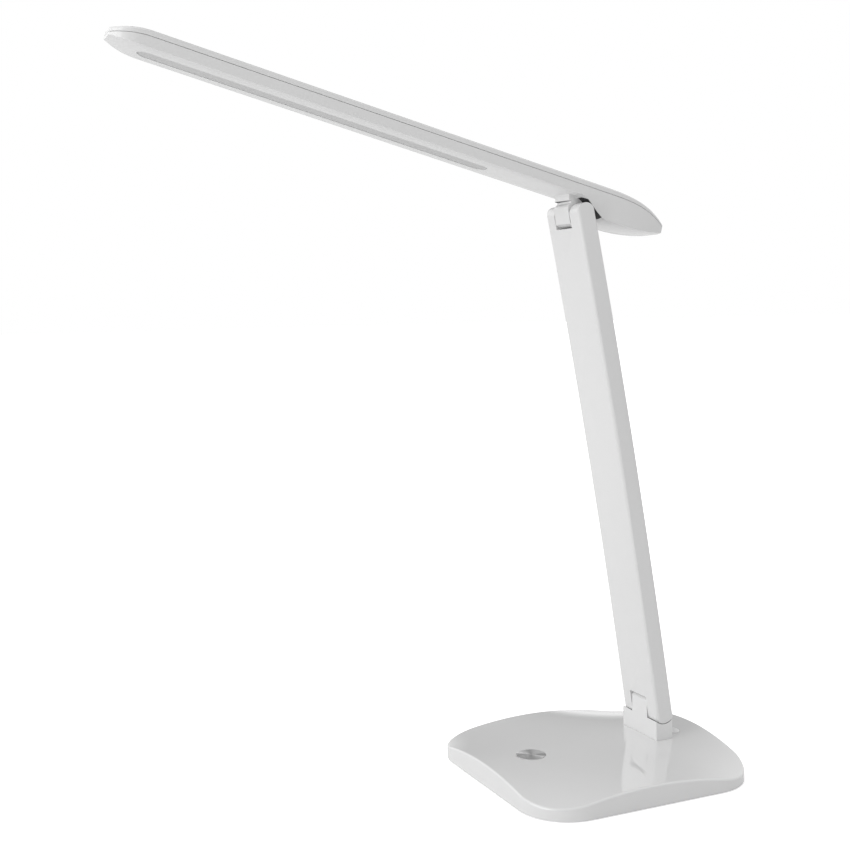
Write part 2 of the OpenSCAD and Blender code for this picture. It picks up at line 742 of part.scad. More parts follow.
base_shell();
bottom_plate();
non_slip_pad();
ballast_plate();
base_screws();
touch_disc();
touch_contact();
board_insulator();
control_board();
board_components();
power_jack();
hinge_block();
block_screws();
rest_bumpers();
base_wire();
arm_shell();
arm_rear_cover();
arm_spine();
spine_screws();
arm_wire();
lower_pin();
lower_nut();
lower_washers();
lower_spring_washer();
lower_pin_cap();
upper_pin();
upper_nut();
upper_washers();
upper_spring_washer();
upper_pin_cap();
head_housing();
head_cover();
diffuser();
light_reflector();
led_board();
led_chips();
heat_spreader();
head_wire();
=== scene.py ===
"""Folding desk lamp: finished pieces, materials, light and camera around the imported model."""

import json
import math

import bmesh
import bpy
from mathutils import Matrix, Vector

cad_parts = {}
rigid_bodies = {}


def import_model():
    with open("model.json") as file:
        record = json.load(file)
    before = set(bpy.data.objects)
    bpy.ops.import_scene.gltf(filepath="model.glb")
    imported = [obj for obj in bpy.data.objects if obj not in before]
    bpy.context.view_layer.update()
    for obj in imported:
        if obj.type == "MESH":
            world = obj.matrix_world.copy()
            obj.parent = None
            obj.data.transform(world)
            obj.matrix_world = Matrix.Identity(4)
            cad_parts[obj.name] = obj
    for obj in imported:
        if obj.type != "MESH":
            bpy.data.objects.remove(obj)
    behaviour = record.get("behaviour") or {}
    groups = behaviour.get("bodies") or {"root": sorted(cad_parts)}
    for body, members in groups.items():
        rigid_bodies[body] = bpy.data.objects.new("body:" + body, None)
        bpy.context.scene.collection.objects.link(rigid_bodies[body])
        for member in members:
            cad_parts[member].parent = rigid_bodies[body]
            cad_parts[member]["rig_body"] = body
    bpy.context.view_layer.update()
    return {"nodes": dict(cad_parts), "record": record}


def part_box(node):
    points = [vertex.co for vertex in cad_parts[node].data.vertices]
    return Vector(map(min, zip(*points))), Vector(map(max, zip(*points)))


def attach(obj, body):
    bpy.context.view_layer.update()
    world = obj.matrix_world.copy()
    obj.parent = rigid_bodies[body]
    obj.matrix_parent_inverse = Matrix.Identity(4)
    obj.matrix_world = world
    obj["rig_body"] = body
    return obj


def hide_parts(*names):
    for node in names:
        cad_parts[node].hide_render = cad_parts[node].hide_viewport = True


bl_info = {
    "name": "Folding Desk Lamp",
    "version": (1, 0, 0),
    "blender": (4, 5, 0),
    "location": "3D View > Sidebar > Desk Lamp",
    "description": "Builds the finished pieces, materials and studio of a folding desk lamp",
    "category": "Object",
}

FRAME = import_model()
MM = 0.001

SHELL_LOW, SHELL_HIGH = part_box("base_shell")
DISC_LOW, DISC_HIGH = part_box("touch_disc")
BLOCK_LOW, BLOCK_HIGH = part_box("hinge_block")
BUMP_LOW, BUMP_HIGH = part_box("rest_bumpers")
DISC_MIDDLE = (DISC_LOW + DISC_HIGH) / 2
DISC_RADIUS = (DISC_HIGH.x - DISC_LOW.x) / 2

# Gap round the pieces that sit in the base, depth of the disc's seat and thickness of its plate
SEAT_GAP = 0.15 * MM
DISC_SEAT = 1.4 * MM
DISC_PLATE = 1.3 * MM

# The round opening for the plug in the back wall
INLET_RADIUS = 4.2 * MM
INLET_HEIGHT = 9.6 * MM

# Rings of faces in the base top, as shares of its outline, the cuts in each of its straight sides,
# and the length from which an edge of the plan is a straight side
RINGS = (0.985, 0.95, 0.9, 0.84, 0.77, 0.69, 0.6, 0.5, 0.4, 0.3, 0.2, 0.1)
SIDE_CUTS = 20
SHORTEST_SIDE = 30 * MM

# Corners of a CAD mesh nearer than WELD are one corner
WELD = 0.002 * MM

# Thickness of the dark skins that paint shade into the hinge gaps
SHADE_SKIN_THICKNESS = 0.12 * MM

WHITE = (1, 1, 1, 1)


class LampSizes(bpy.types.PropertyGroup):
    """Sizes of the finished pieces."""

    corner_radius: bpy.props.FloatProperty(
        name="Base corner radius",
        description="Plan radius of the four corners of the base",
        default=36.5 * MM, min=20 * MM, max=60 * MM, unit="LENGTH", precision=4)
    top_mid: bpy.props.FloatProperty(
        name="Height in the middle",
        description="Height of the wavy top in the middle of the base",
        default=17.8 * MM, unit="LENGTH", precision=4)
    rim_front: bpy.props.FloatProperty(
        name="Front rim", description="Height of the rim at the middle of the front",
        default=16.5 * MM, unit="LENGTH", precision=4)
    rim_back: bpy.props.FloatProperty(
        name="Back rim", description="Height of the rim at the middle of the back",
        default=21.4 * MM, unit="LENGTH", precision=4)
    rim_side: bpy.props.FloatProperty(
        name="Side rim", description="Height of the rim at the middle of each side",
        default=15.5 * MM, unit="LENGTH", precision=4)
    front_corner: bpy.props.FloatProperty(
        name="Front corner rim", description="Height of the rim at the front corners",
        default=8.8 * MM, unit="LENGTH", precision=4)
    back_corner: bpy.props.FloatProperty(
        name="Back corner rim", description="Height of the rim at the back corners",
        default=7.8 * MM, unit="LENGTH", precision=4)
    rim_edge: bpy.props.FloatProperty(
        name="Rim rounding", description="Radius along the top edge of the base",
        default=1.4 * MM, unit="LENGTH", precision=4)
    base_wall: bpy.props.FloatProperty(
        name="Base wall", description="Wall thickness of the base shell",
        default=2.4 * MM, unit="LENGTH", precision=4)
    corner_steps: bpy.props.IntProperty(
        name="Corner steps", description="Segments round each corner of the base",
        default=18, min=6, max=48)
    edge_round: bpy.props.FloatProperty(
        name="Edge rounding", description="Small radius along the moulded edges",
        default=0.35 * MM, unit="LENGTH", precision=5)
    disc_edge: bpy.props.FloatProperty(
        name="Disc edge", description="Small radius round the touch disc",
        default=0.3 * MM, unit="LENGTH", precision=5)


class LampFinish(bpy.types.PropertyGroup):
    """Colours of the finished pieces."""

    white: bpy.props.FloatVectorProperty(
        name="White plastic", description="Colour of the glossy plastic", subtype="COLOR",
        size=4, min=0, max=1, default=(0.80, 0.80, 0.80, 1))
    milky: bpy.props.FloatVectorProperty(
        name="Diffuser", description="Colour of the milky diffuser", subtype="COLOR",
        size=4, min=0, max=1, default=(0.62, 0.62, 0.62, 1))
    disc: bpy.props.FloatVectorProperty(
        name="Touch disc", description="Colour of the brushed metal disc", subtype="COLOR",
        size=4, min=0, max=1, default=(0.62, 0.62, 0.62, 1))
    floor: bpy.props.FloatVectorProperty(
        name="Floor", description="Colour of the studio floor", subtype="COLOR",
        size=4, min=0, max=1, default=(0.78, 0.78, 0.78, 1))


# Shader nodes, each fed with plain values or with other nodes' outputs

def feed(tree, socket, value):
    """Links an output to a socket, or writes a plain value there."""
    if isinstance(value, bpy.types.NodeSocket):
        tree.links.new(value, socket)
    else:
        socket.default_value = value


def number(tree, operation, *values):
    """The result of a Math node."""
    node = tree.nodes.new("ShaderNodeMath")
    node.operation = operation
    for socket, value in zip(node.inputs, values):
        feed(tree, socket, value)
    return node.outputs[0]


def vector(tree, operation, *values):
    """The outputs of a Vector Math node."""
    node = tree.nodes.new("ShaderNodeVectorMath")
    node.operation = operation
    for socket, value in zip(node.inputs, values):
        feed(tree, socket, value)
    return node.outputs


def tinted(tree, colour, share):
    """A colour scaled by a share."""
    node = tree.nodes.new("ShaderNodeVectorMath")
    node.operation = "SCALE"
    feed(tree, node.inputs[0], colour)
    feed(tree, node.inputs["Scale"], share)
    return node.outputs["Vector"]


def ramp(tree, value, start, stop, first, last, smooth=False):
    """A value that goes from first to last as another goes from start to stop."""
    node = tree.nodes.new("ShaderNodeMapRange")
    if smooth:
        node.interpolation_type = "SMOOTHSTEP"
    for label, given in (("Value", value), ("From Min", start), ("From Max", stop),
                         ("To Min", first), ("To Max", last)):
        feed(tree, node.inputs[label], given)
    return node.outputs["Result"]


def place_on(tree, kind="Object"):
    """The coordinates of the point that is shaded."""
    return tree.nodes.new("ShaderNodeTexCoord").outputs[kind]


def noise(tree, place, scale, detail=2.0, roughness=0.5):
    """The value of a Noise node at a place."""
    node = tree.nodes.new("ShaderNodeTexNoise")
    for label, given in (("Vector", place), ("Scale", scale), ("Detail", detail), ("Roughness", roughness)):
        feed(tree, node.inputs[label], given)
    return node.outputs["Fac"]


def bumped(tree, height, distance, strength):
    """The normal of a surface that a height moves by up to distance."""
    node = tree.nodes.new("ShaderNodeBump")
    for label, given in (("Distance", distance), ("Strength", strength), ("Height", height)):
        feed(tree, node.inputs[label], given)
    return node.outputs["Normal"]


def mixed(tree, share, first, second):
    """A mix of two shaders, with share of the second."""
    node = tree.nodes.new("ShaderNodeMixShader")
    for socket, given in zip(node.inputs, (share, first, second)):
        feed(tree, socket, given)
    return node.outputs[0]


# Shared shader groups

def group(name, inputs):
    """A shader group with named inputs that gives a colour, a roughness and a normal."""
    tree = bpy.data.node_groups.new(name, "ShaderNodeTree")
    for label, kind, value in inputs:
        socket = tree.interface.new_socket(label, in_out="INPUT", socket_type="NodeSocket" + kind)
        socket.default_value = value
    for label, kind in (("Colour", "Color"), ("Roughness", "Float"), ("Normal", "Vector")):
        tree.interface.new_socket(label, in_out="OUTPUT", socket_type="NodeSocket" + kind)
    return tree, tree.nodes.new("NodeGroupInput").outputs, tree.nodes.new("NodeGroupOutput").inputs


def moulding_group():
    """Moulded plastic: a faint unevenness of colour, gloss and surface."""
    tree, given, result = group("Moulded surface", (
        ("Colour", "Color", (0.8, 0.8, 0.8, 1)), ("Mottle", "Float", 0.02), ("Gloss", "Float", 0.2),
        ("Gloss change", "Float", 0.05), ("Grain size", "Float", 900.0), ("Grain depth", "Float", 0.02)))
    place = place_on(tree)
    broad = noise(tree, place, scale=22.0, detail=3.0)
    grain = noise(tree, place, scale=given["Grain size"])
    darkest = number(tree, "SUBTRACT", 1.0, given["Mottle"])
    mottle = ramp(tree, broad, 0.3, 0.7, darkest, 1.0)
    gloss = number(tree, "MULTIPLY_ADD", broad, given["Gloss change"], given["Gloss"])
    feed(tree, result["Colour"], tinted(tree, given["Colour"], mottle))
    feed(tree, result["Roughness"], gloss)
    feed(tree, result["Normal"], bumped(tree, grain, 0.2 * MM, given["Grain depth"]))


def streak_group():
    """Brushed metal: long thin streaks along one direction of the piece."""
    tree, given, result = group("Brushed streaks", (
        ("Colour", "Color", (0.6, 0.6, 0.6, 1)), ("Stretch", "Vector", (900, 20, 900)),
        ("Contrast", "Float", 0.15), ("Gloss", "Float", 0.3), ("Depth", "Float", 0.1)))
    stretched = vector(tree, "MULTIPLY", place_on(tree), given["Stretch"])["Vector"]
    lines = noise(tree, stretched, scale=1.0, detail=4.0, roughness=0.65)
    darkest = number(tree, "SUBTRACT", 1.0, given["Contrast"])
    streaks = ramp(tree, lines, 0.25, 0.75, darkest, 1.0)
    gloss_change = 0.15
    gloss = number(tree, "MULTIPLY_ADD", lines, gloss_change, given["Gloss"])
    feed(tree, result["Colour"], tinted(tree, given["Colour"], streaks))
    feed(tree, result["Roughness"], gloss)
    feed(tree, result["Normal"], bumped(tree, lines, 0.1 * MM, given["Depth"]))


# Materials

def principled(name):
    """A new node material, its tree and its Principled shader."""
    made = bpy.data.materials.new(name)
    made.use_nodes = True
    return made, made.node_tree, made.node_tree.nodes["Principled BSDF"]


def effect_material(name, effect, values):
    """A material whose colour, roughness and normal come from a shared group, and its shader."""
    made, tree, shader = principled(name)
    node = tree.nodes.new("ShaderNodeGroup")
    node.node_tree = bpy.data.node_groups[effect]
    for label, value in values.items():
        node.inputs[label].default_value = value
    for label, socket in (("Colour", "Base Color"), ("Roughness", "Roughness"), ("Normal", "Normal")):
        tree.links.new(node.outputs[label], shader.inputs[socket])
    return made, shader


def plastic(name, colour, gloss, mottle, grain, depth, change=0.05, coat=0.0):
    """Moulded plastic or rubber."""
    made, shader = effect_material(name, "Moulded surface", {
        "Colour": colour, "Mottle": mottle, "Gloss": gloss, "Gloss change": change,
        "Grain size": grain, "Grain depth": depth})
    shader.inputs["Coat Weight"].default_value = coat
    shader.inputs["Coat Roughness"].default_value = 0.03
    return made


def metal(name, colour, gloss, stretch, contrast):
    """Brushed, rolled or plated metal."""
    made, shader = effect_material(name, "Brushed streaks", {
        "Colour": colour, "Stretch": stretch, "Contrast": contrast, "Gloss": gloss, "Depth": 0.1})
    shader.inputs["Metallic"].default_value = 1.0
    return made


def disc_metal(colour, centre):
    """Metal with fine circles, on which highlights spread round the middle of the disc."""
    made, tree, shader = principled("Brushed touch disc")
    move = tree.nodes.new("ShaderNodeMapping")
    move.inputs["Location"].default_value = -centre
    feed(tree, move.inputs["Vector"], place_on(tree))
    away = move.outputs["Vector"]
    circles = tree.nodes.new("ShaderNodeTexNoise")
    circles.noise_dimensions = "1D"
    circles.inputs["Scale"].default_value = 5000.0
    circles.inputs["Detail"].default_value = 2.0
    feed(tree, circles.inputs["W"], vector(tree, "LENGTH", away)["Value"])
    darkest = 0.9
    dimmed = ramp(tree, circles.outputs["Fac"], 0.3, 0.7, darkest, 1.0)
    feed(tree, shader.inputs["Base Color"], tinted(tree, colour[:3], dimmed))
    turn = tree.nodes.new("ShaderNodeVectorRotate")
    turn.rotation_type = "Z_AXIS"
    turn.inputs["Angle"].default_value = math.radians(90)
    feed(tree, turn.inputs["Vector"], vector(tree, "NORMALIZE", away)["Vector"])
    feed(tree, shader.inputs["Tangent"], turn.outputs["Vector"])
    shader.inputs["Metallic"].default_value = 1.0
    shader.inputs["Roughness"].default_value = 0.45
    shader.inputs["Anisotropic"].default_value = 0.95
    return made


def make_materials(finish):
    """Every material of the lamp, by the record's slot name; polished_white is the base's own finish."""
    moulding_group()
    streak_group()
    centre = Vector((0, DISC_MIDDLE.y, DISC_HIGH.z))
    return {
        "white_plastic": plastic("Glossy white plastic", finish.white, gloss=0.16, mottle=0.012,
                                 grain=700.0, depth=0.012, coat=0.25),
        "polished_white": plastic("Polished white plastic", finish.white, gloss=0.05, mottle=0.012,
                                  grain=500.0, depth=0.004, change=0.02, coat=0.7),
        "soft_white": plastic("Soft white bumper", finish.white, gloss=0.4, mottle=0.03,
                              grain=1400.0, depth=0.05),
        "grey_plastic": plastic("Grey plastic sheet", (0.45, 0.45, 0.45, 1), gloss=0.5, mottle=0.08,
                                grain=1600.0, depth=0.2),
        "black_plastic": plastic("Black moulded plastic", (0.025, 0.025, 0.027, 1), gloss=0.45, mottle=0.2,
                                 grain=2200.0, depth=0.25),
        "milky_plastic": plastic("Milky diffuser", finish.milky, gloss=0.42, mottle=0.03,
                                 grain=2600.0, depth=0.12),
        "dark_rubber": plastic("Dark rubber pad", (0.05, 0.05, 0.05, 1), gloss=0.75, mottle=0.25,
                               grain=1500.0, depth=0.5),
        "board_green": plastic("Green board", (0.02, 0.12, 0.05, 1), gloss=0.35, mottle=0.35,
                               grain=420.0, depth=0.1),
        "led_yellow": plastic("Diode phosphor", (0.75, 0.6, 0.14, 1), gloss=0.4, mottle=0.2,
                              grain=3000.0, depth=0.2),
        "wire_cover": plastic("Wire cover", (0.6, 0.6, 0.6, 1), gloss=0.45, mottle=0.05,
                              grain=1800.0, depth=0.1),
        "plain_steel": metal("Rolled steel", (0.5, 0.5, 0.51, 1), gloss=0.35,
                             stretch=(40, 900, 900), contrast=0.25),
        "bright_steel": metal("Zinc plated steel", (0.62, 0.62, 0.64, 1), gloss=0.22,
                              stretch=(1500, 1500, 300), contrast=0.12),
        "contact_brass": metal("Contact brass", (0.75, 0.55, 0.25, 1), gloss=0.25,
                               stretch=(900, 900, 200), contrast=0.12),
        "aluminium_board": metal("Rolled aluminium", (0.72, 0.73, 0.74, 1), gloss=0.35,
                                 stretch=(900, 30, 900), contrast=0.1),
        "brushed_metal": disc_metal(finish.disc, centre),
    }


MATERIALS = {}


def materials():
    """The materials, made when they are first asked for."""
    if not MATERIALS:
        MATERIALS.update(make_materials(bpy.context.scene.lamp_finish))
    return MATERIALS


# Helpers for pieces

def sizes():
    """The sizes that a user can change."""
    return bpy.context.scene.lamp_sizes


def new_object(name, bm):
    """An object at the origin with the mesh of bm, which is freed."""
    mesh = bpy.data.meshes.new(name)
    bm.to_mesh(mesh)
    bm.free()
    obj = bpy.data.objects.new(name, mesh)
    bpy.context.scene.collection.objects.link(obj)
    return obj


def shade(obj, angle):
    """Smooth shading that breaks at edges sharper than angle degrees."""
    obj.data.shade_smooth()
    obj.data.set_sharp_from_angle(angle=math.radians(angle))


def clean_copy(node, flat=0.25):
    """The shape of a CAD node with its triangles merged into faces that are flat within flat degrees."""
    bm = bmesh.new()
    bm.from_mesh(FRAME["nodes"][node].data)
    bmesh.ops.remove_doubles(bm, verts=bm.verts, dist=WELD)
    bmesh.ops.dissolve_degenerate(bm, dist=WELD / 2, edges=bm.edges)
    bmesh.ops.dissolve_limit(bm, angle_limit=math.radians(flat), verts=bm.verts, edges=bm.edges)
    return bm


def cut(obj, cutter):
    """Cuts the closed shape cutter, a bmesh, out of obj."""
    tool = new_object("cutter", cutter)
    step = obj.modifiers.new("cut", "BOOLEAN")
    step.operation = "DIFFERENCE"
    step.solver = "EXACT"
    step.object = tool
    graph = bpy.context.evaluated_depsgraph_get()
    mesh = bpy.data.meshes.new_from_object(obj.evaluated_get(graph))
    obj.modifiers.clear()
    obj.data = mesh
    bpy.data.objects.remove(tool)


def bar(x, y, radius, low, high, segments=64):
    """A closed upright cylinder as a bmesh."""
    bm = bmesh.new()
    bmesh.ops.create_cone(
        bm, cap_ends=True, segments=segments, radius1=radius, radius2=radius, depth=high - low,
        matrix=Matrix.Translation((x, y, (low + high) / 2)))
    return bm


def block(low, high):
    """A closed box as a bmesh."""
    bm = bmesh.new()
    bmesh.ops.create_cube(bm, size=1.0)
    low, high = Vector(low), Vector(high)
    bmesh.ops.scale(bm, vec=high - low, verts=bm.verts)
    bmesh.ops.translate(bm, vec=(low + high) / 2, verts=bm.verts)
    return bm


def settle(obj, node, slot, finish=None):
    """Gives a finished piece its body and its material, and hides the CAD node that it stands for."""
    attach(obj, FRAME["nodes"][node]["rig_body"])
    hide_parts(node)
    obj.data.materials.clear()
    obj.data.materials.append(materials()[finish or slot])


def dressed(node, name, slot, rounding=None, angle=35.0):
    """A piece with a CAD node's shape, whole faces and rounded edges."""
    obj = new_object(name, clean_copy(node))
    shade(obj, angle)
    step = obj.modifiers.new("round", "BEVEL")
    step.width = sizes().edge_round if rounding is None else rounding
    step.segments = 3
    step.limit_method = "ANGLE"
    step.angle_limit = math.radians(angle)
    step.harden_normals = True
    step.use_clamp_overlap = True
    step.miter_outer = "MITER_ARC"
    settle(obj, node, slot)


def painted_shade_skin(node, name, wanted):
    """A thin black skin over the faces of a CAD node that wanted picks out: painted shade, which darkens a
    gap where shade falls.
    """
    bm = clean_copy(node, flat=0.01)
    others = [f for f in bm.faces if not wanted(f.calc_center_median(), f.normal)]
    bmesh.ops.delete(bm, geom=others, context="FACES")
    bmesh.ops.solidify(bm, geom=bm.faces[:], thickness=-SHADE_SKIN_THICKNESS)
    bmesh.ops.recalc_face_normals(bm, faces=bm.faces)
    obj = new_object(name, bm)
    shade(obj, 30)
    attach(obj, FRAME["nodes"][node]["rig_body"])
    obj.data.materials.append(materials()["black_plastic"])


def pin_middle(pin):
    """The middle of a hinge pin."""
    low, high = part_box(pin)
    return (low + high) / 2


def away_from(axis, place):
    """The shortest way from a hinge axis, given by a point on it, to a place."""
    return Vector((0, place.y - axis.y, place.z - axis.z))


def wavy_top(lamp, x, y):
    """Height of the base top at a place, as in the CAD model.

    It meets the heights that lamp gives in the middle, at the middle of each rim and at the corners.
    """
    half_w = (SHELL_HIGH.x - SHELL_LOW.x) / 2
    half_d = (SHELL_HIGH.y - SHELL_LOW.y) / 2
    u, v = x / half_w, y / half_d
    corner_at = 1 - lamp.corner_radius * (1 - math.cos(math.radians(45))) / half_w
    tilt = (lamp.rim_back - lamp.rim_front) / 2
    rise = (lamp.rim_back + lamp.rim_front) / 2 - lamp.top_mid
    fall = lamp.rim_side - lamp.top_mid
    corner = (lamp.front_corner + lamp.back_corner) / 2
    saddle = (corner - lamp.top_mid - (rise + fall) * corner_at ** 2) / corner_at ** 4
    skew = ((lamp.back_corner - lamp.front_corner) / 2 - tilt * corner_at) / corner_at ** 3
    return (lamp.top_mid + tilt * v + rise * v * v + fall * u * u
            + saddle * u * u * v * v + skew * u * u * v)


# Operators

class LAMP_OT_base(bpy.types.Operator):
    """Builds the base shell with its wavy top, rim and recesses"""

    bl_idname = "lamp.base"
    bl_label = "Base shell"

    def execute(self, context):
        obj = new_object("base_top_shell", self.shell(sizes()))
        self.cut_openings(obj)
        shade(obj, 30)
        even = obj.modifiers.new("even normals", "WEIGHTED_NORMAL")
        even.keep_sharp = True
        settle(obj, "base_shell", "white_plastic", "polished_white")
        return {"FINISHED"}

    def shell(self, lamp):
        """The wall of the base: rounded plan, wavy top, upright sides, thickness and rounded rim."""
        bm = bmesh.new()
        bmesh.ops.create_grid(bm, x_segments=1, y_segments=1, size=0.5)
        bmesh.ops.scale(bm, vec=(SHELL_HIGH.x - SHELL_LOW.x, SHELL_HIGH.y - SHELL_LOW.y, 1), verts=bm.verts)
        bmesh.ops.bevel(bm, geom=bm.verts[:], offset=lamp.corner_radius, offset_type="OFFSET",
                        segments=lamp.corner_steps, profile=0.5, affect="VERTICES", material=-1)
        sides = [e for e in bm.edges if e.calc_length() > SHORTEST_SIDE]
        bmesh.ops.subdivide_edges(bm, edges=sides, cuts=SIDE_CUTS)
        middle = max(bm.faces, key=lambda f: f.calc_area())
        size = 1.0
        for share in RINGS:
            bmesh.ops.inset_individual(bm, faces=[middle], thickness=0.0, depth=0.0)
            bmesh.ops.scale(bm, vec=(share / size, share / size, 1), verts=middle.verts)
            size = share
        bmesh.ops.poke(bm, faces=[middle])
        for v in bm.verts:
            v.co.z = wavy_top(lamp, v.co.x, v.co.y)
        rim = [e for e in bm.edges if e.is_boundary]
        wall = bmesh.ops.extrude_edge_only(bm, edges=rim)
        for v in (g for g in wall["geom"] if isinstance(g, bmesh.types.BMVert)):
            v.co.z = SHELL_LOW.z
        bmesh.ops.recalc_face_normals(bm, faces=bm.faces)
        crest = {v.co.to_tuple(6) for e in rim for v in e.verts}
        bmesh.ops.solidify(bm, geom=bm.faces[:], thickness=lamp.base_wall)
        rim = [e for e in bm.edges if all(v.co.to_tuple(6) in crest for v in e.verts)]
        bmesh.ops.recalc_face_normals(bm, faces=bm.faces)
        bmesh.ops.bevel(bm, geom=rim, offset=lamp.rim_edge, offset_type="OFFSET", segments=6,
                        profile=0.5, affect="EDGES", material=-1, clamp_overlap=True)
        return bm

    def cut_openings(self, obj):
        """Opens the seats of the disc, the hinge block and the bumpers, and the inlet in the back wall."""
        above = SHELL_HIGH.z + 10 * MM
        seat = DISC_HIGH.z - DISC_SEAT
        cut(obj, bar(DISC_MIDDLE.x, DISC_MIDDLE.y, DISC_RADIUS + SEAT_GAP, seat, above, segments=128))
        gap = Vector((SEAT_GAP, SEAT_GAP, 0))
        cut(obj, block(BLOCK_LOW - gap, Vector((BLOCK_HIGH.x, BLOCK_HIGH.y, above)) + gap))
        reach = 10 * MM
        inlet = bar(0, 0, INLET_RADIUS, -reach, reach)
        bmesh.ops.rotate(inlet, cent=(0, 0, 0), matrix=Matrix.Rotation(math.radians(90), 3, "X"),
                         verts=inlet.verts)
        bmesh.ops.translate(inlet, vec=(0, SHELL_HIGH.y, INLET_HEIGHT), verts=inlet.verts)
        cut(obj, inlet)
        radius = (BUMP_HIGH.y - BUMP_LOW.y) / 2
        for x in (BUMP_LOW.x + radius, BUMP_HIGH.x - radius):
            cut(obj, bar(x, (BUMP_LOW.y + BUMP_HIGH.y) / 2, radius + SEAT_GAP, BUMP_LOW.z, above))


class LAMP_OT_disc(bpy.types.Operator):
    """Builds the brushed touch disc"""

    bl_idname = "lamp.disc"
    bl_label = "Touch disc"

    def execute(self, context):
        bottom = Matrix.Translation((DISC_MIDDLE.x, DISC_MIDDLE.y, DISC_HIGH.z - DISC_PLATE))
        bm = bmesh.new()
        bmesh.ops.create_circle(bm, cap_ends=True, segments=128, radius=DISC_RADIUS, matrix=bottom)
        up = bmesh.ops.extrude_face_region(bm, geom=bm.faces[:])
        top = [g for g in up["geom"] if isinstance(g, bmesh.types.BMVert)]
        bmesh.ops.translate(bm, vec=(0, 0, DISC_PLATE), verts=top)
        bmesh.ops.recalc_face_normals(bm, faces=bm.faces)
        edges = [e for e in bm.edges if all(v in top for v in e.verts)]
        bmesh.ops.bevel(bm, geom=edges, offset=sizes().disc_edge, offset_type="OFFSET", segments=3,
                        profile=0.5, affect="EDGES", material=-1)
        obj = new_object("touch_disc_plate", bm)
        shade(obj, 25)
        settle(obj, "touch_disc", "brushed_metal")
        return {"FINISHED"}


class LAMP_OT_arm(bpy.types.Operator):
    """Builds the hinge block, the arm, its rear cover, the bumpers and a black skin of painted shade in the
    lower gap
    """

    bl_idname = "lamp.arm"
    bl_label = "Arm and hinge block"

    def execute(self, context):
        dressed("hinge_block", "hinge_block_moulding", "white_plastic")
        dressed("arm_shell", "arm_moulding", "white_plastic")
        dressed("arm_rear_cover", "arm_back_cover", "white_plastic", rounding=0.25 * MM)
        dressed("rest_bumpers", "back_bumpers", "soft_white", rounding=0.3 * MM)
        axis = pin_middle("lower_pin")
        tongue_half = 10.2 * MM
        pocket_low, pocket_high = 9 * MM, 10.5 * MM
        facing = 8 * MM

        def in_pocket(place, normal):
            """True for the round pocket beside the tongue, which faces the lower pin."""
            away = away_from(axis, place)
            round_pin = pocket_low < away.length < pocket_high and normal.dot(away) < -facing
            return abs(place.x) > tongue_half and round_pin

        # A black skin in the round pocket beside the tongue: painted shade for the dark gap round the lower
        # pin.
        painted_shade_skin("hinge_block", "lower_gap_shade_skin", in_pocket)
        return {"FINISHED"}


class LAMP_OT_head(bpy.types.Operator):
    """Builds the light bar: housing, top cover, diffuser and a black skin of painted shade in the upper gap
    """

    bl_idname = "lamp.head"
    bl_label = "Light bar"

    def execute(self, context):
        dressed("head_housing", "light_bar_housing", "white_plastic")
        dressed("head_cover", "light_bar_cover", "white_plastic")
        dressed("diffuser", "light_diffuser", "milky_plastic", rounding=0.1 * MM)
        axis = pin_middle("upper_pin")
        reach = 24 * MM
        neck_step = 6 * MM
        cutout_low, cutout_high = 7.2 * MM, 9.2 * MM
        sideways = 0.2

        def in_cutout(place, normal):
            """True for the cutout behind the neck, whose faces pass near the upper pin and face it."""
            away = away_from(axis, place)
            near = away.length < reach and abs(normal.x) < sideways and away.y > -neck_step
            return near and -cutout_high < normal.dot(away) < -cutout_low

        # A black skin in the cutout behind the neck: painted shade for the dark crescent round the upper
        # pin.
        painted_shade_skin("head_housing", "upper_gap_shade_skin", in_cutout)
        return {"FINISHED"}


class LAMP_OT_insides(bpy.types.Operator):
    """Gives every CAD node that still shows its own material"""

    bl_idname = "lamp.insides"
    bl_label = "Inner parts"

    def execute(self, context):
        slots = {p["node"]: p["material_slot"] for p in FRAME["record"]["subparts"]}
        for name, obj in FRAME["nodes"].items():
            if not obj.hide_render:
                obj.data.materials.clear()
                obj.data.materials.append(materials()[slots[name]])
        return {"FINISHED"}


